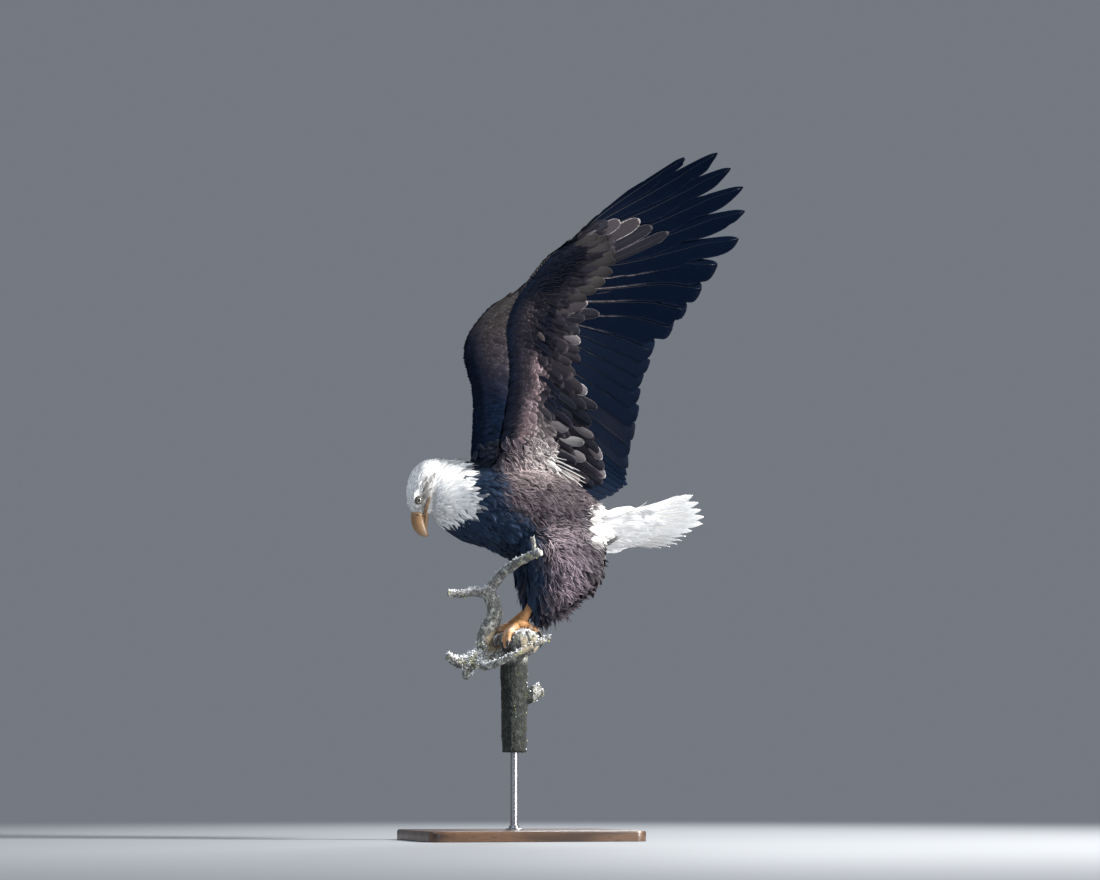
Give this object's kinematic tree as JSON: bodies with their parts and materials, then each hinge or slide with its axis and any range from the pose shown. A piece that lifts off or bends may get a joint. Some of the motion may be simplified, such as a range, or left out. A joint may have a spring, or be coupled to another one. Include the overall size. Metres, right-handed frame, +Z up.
{
  "type": "perched bald eagle",
  "caption": "Life-size bald eagle with both wings raised, head bent down and tail fanned, gripping a short cut of treetop on a rod and flat base.",
  "frame": {"origin": "centre of the underside of the stand's base, on the floor", "axes": "+Z up; the bird faces -Y; its left side is +X; the plane of symmetry of its body is X = 0"},
  "size_m": [0.7739, 0.7384, 1.5431],
  "materials": {
    "white_feather": "soft white feathers",
    "brown_feather": "dark purple-brown feathers with pale fringes",
    "flight_feather": "blue-black flight feathers, low sheen",
    "bill_horn": "satin yellow-orange horn",
    "foot_skin": "scaled yellow-orange skin",
    "claw_horn": "polished black horn",
    "eye": "wet pale yellow iris with a black pupil",
    "bark": "rough grey-green bark with lichen and frost",
    "steel": "brushed",
    "board": "dark satin wood"
  },
  "bodies": {
    "root": {"head": "white_feather", "neck": "white_feather", "trunk": "brown_feather", "tail": "white_feather", "bill_upper": "bill_horn", "bill_lower": "bill_horn", "perch": "bark", "stand_base": "board", "stand_rod": "steel", "eye_left": "eye", "thigh_left": "brown_feather", "tarsus_left": "foot_skin", "foot_left": "foot_skin", "wing_left_arm": "brown_feather", "wing_left_hand": "brown_feather", "wing_left_secondaries": "flight_feather", "wing_left_primaries": "flight_feather", "claw_left_0": "claw_horn", "claw_left_1": "claw_horn", "claw_left_2": "claw_horn", "claw_left_3": "claw_horn", "eye_right": "eye", "thigh_right": "brown_feather", "tarsus_right": "foot_skin", "foot_right": "foot_skin", "wing_right_arm": "brown_feather", "wing_right_hand": "brown_feather", "wing_right_secondaries": "flight_feather", "wing_right_primaries": "flight_feather", "claw_right_0": "claw_horn", "claw_right_1": "claw_horn", "claw_right_2": "claw_horn", "claw_right_3": "claw_horn"}
  },
  "joints": []
}
